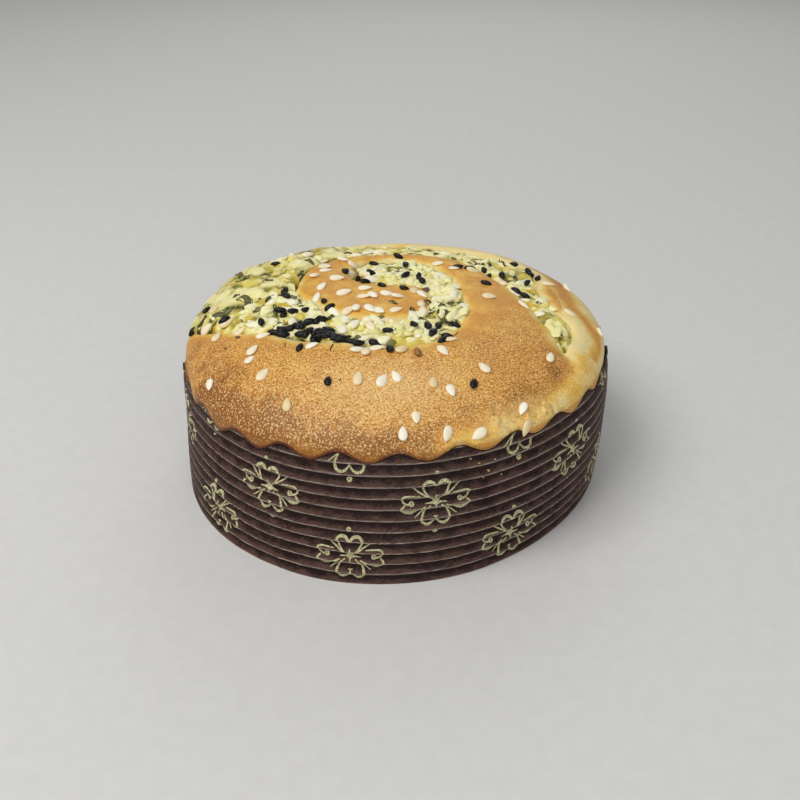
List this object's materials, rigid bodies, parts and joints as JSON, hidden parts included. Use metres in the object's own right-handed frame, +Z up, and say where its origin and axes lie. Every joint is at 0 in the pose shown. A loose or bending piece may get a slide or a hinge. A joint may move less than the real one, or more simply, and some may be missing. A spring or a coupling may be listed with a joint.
{
  "type": "spanakopita pie",
  "caption": "Coiled soft-dough spinach and cheese pie with sesame and nigella seeds, baked in its own round ribbed paper case with a scalloped rim.",
  "frame": {"origin": "middle of the flat base, on the surface the pie stands on", "axes": "+Z up through the middle of the coil, -Y towards the side where the front roll is broadest, +X to the right of it, where the coil's outer end is"},
  "size_m": [0.11, 0.11, 0.0494],
  "materials": {
    "brown_paper": "matt ribbed baking paper, dark brown with gold print",
    "baked_dough": "golden-brown baked dough, fine grained",
    "cheese_filling": "moist crumbly cheese with spinach"
  },
  "bodies": {
    "root": {"paper_case": "brown_paper", "dough": "baked_dough", "filling": "cheese_filling"}
  },
  "joints": []
}
